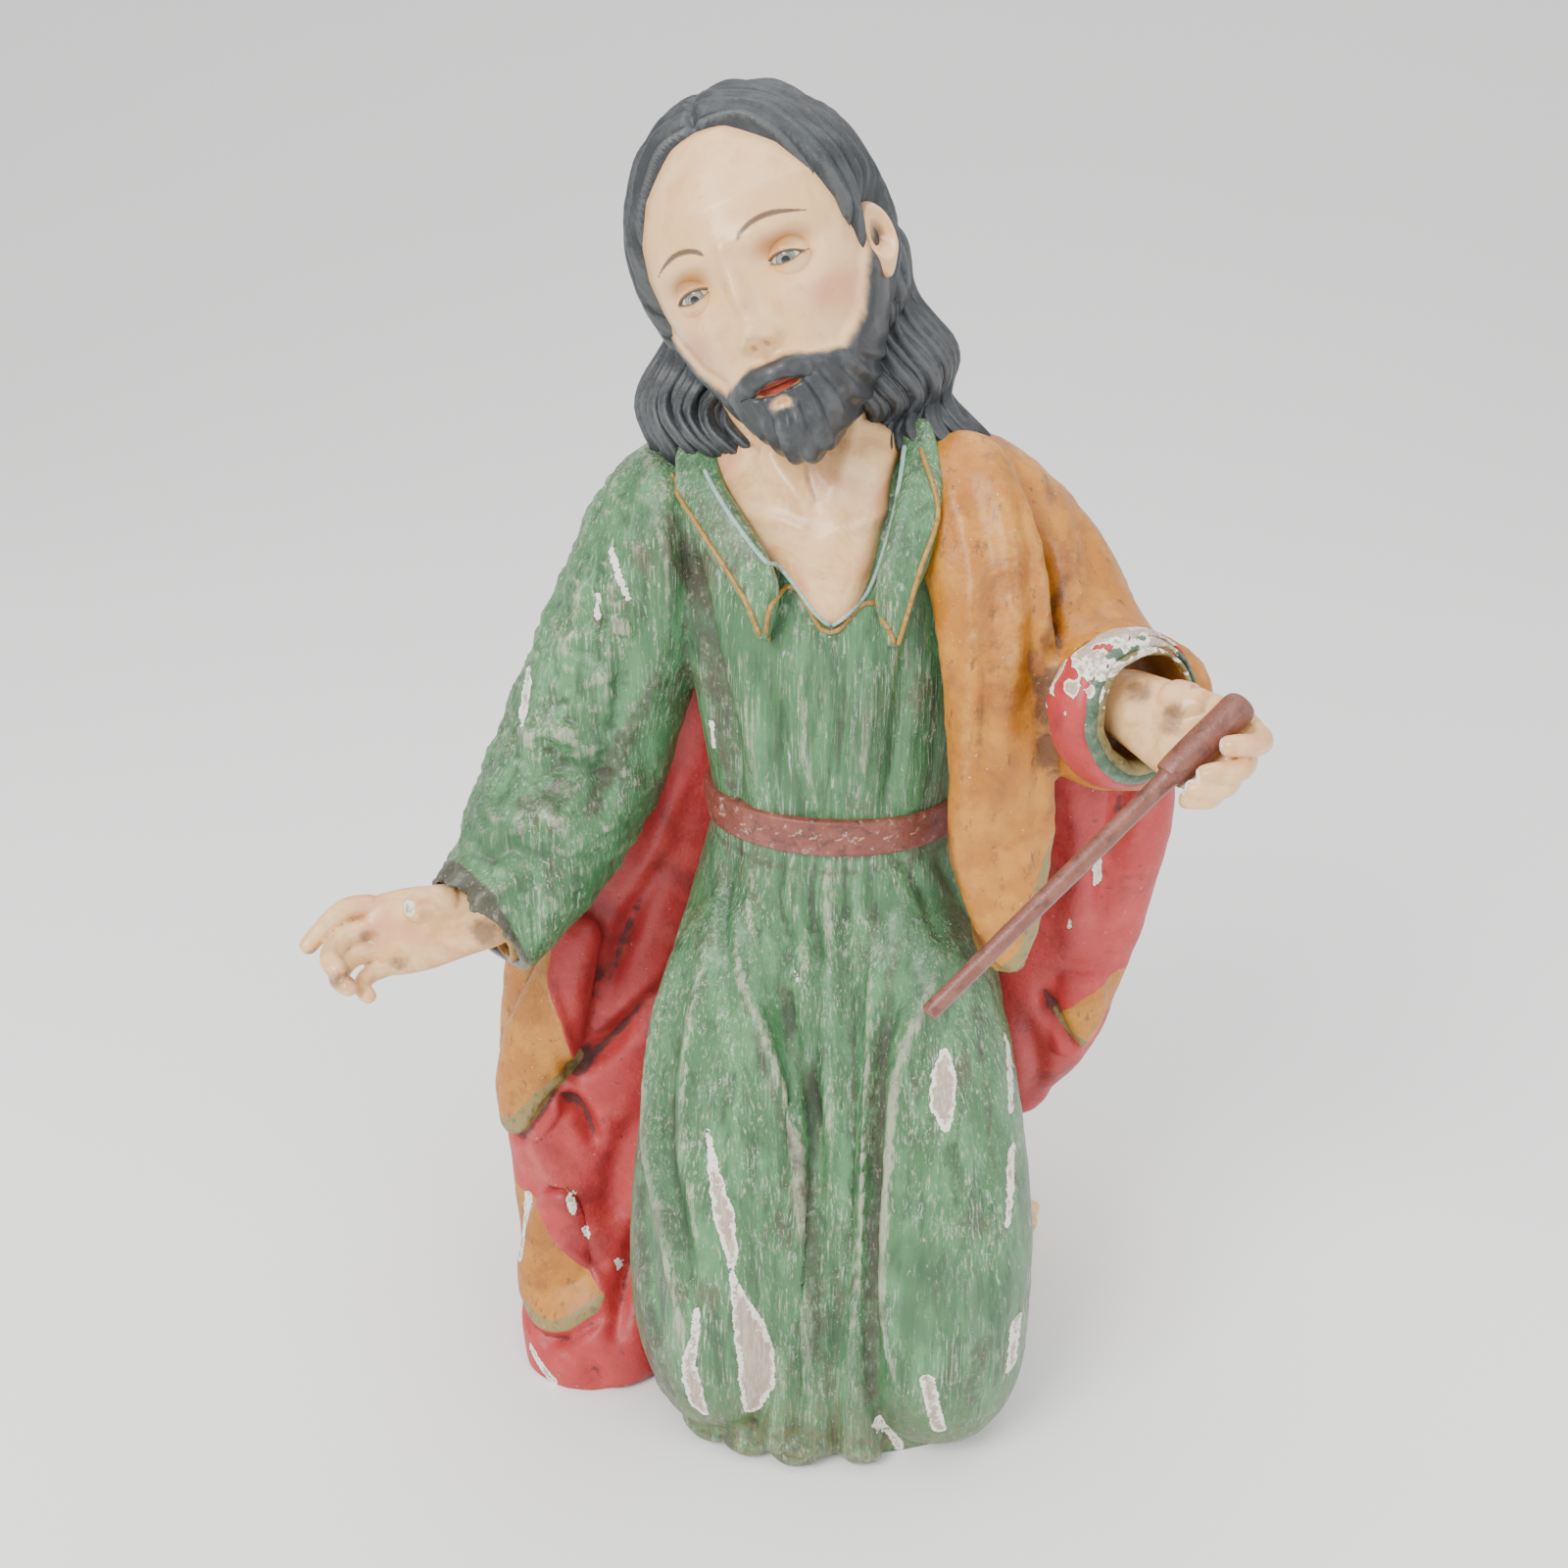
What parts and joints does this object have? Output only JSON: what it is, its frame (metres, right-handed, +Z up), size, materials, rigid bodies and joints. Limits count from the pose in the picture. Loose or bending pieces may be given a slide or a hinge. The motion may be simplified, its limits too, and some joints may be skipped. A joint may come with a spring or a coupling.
{
  "type": "carved wooden kneeling figure",
  "caption": "Carved and painted wooden religious statue: a bearded robed figure kneeling upright, arms held out, inserted hands, with a short staff.",
  "frame": {"origin": "on the ground plane, at the middle of the flat underside between the knees and the mantle's hem", "axes": "+Z up, the figure faces -Y, +X is the figure's left"},
  "size_m": [0.3608, 0.3065, 0.561],
  "materials": {
    "painted_carving": "carved wood under gesso and worn oil paint: green robe, ochre mantle lined red, flesh, blue-black hair",
    "painted_flesh": "carved wood under semi-gloss flesh paint, chipped at the fingertips",
    "painted_staff": "turned wood, satin red-brown paint"
  },
  "bodies": {
    "root": {"carved_figure": "painted_carving", "right_hand": "painted_flesh", "left_hand": "painted_flesh", "staff": "painted_staff"}
  },
  "joints": []
}
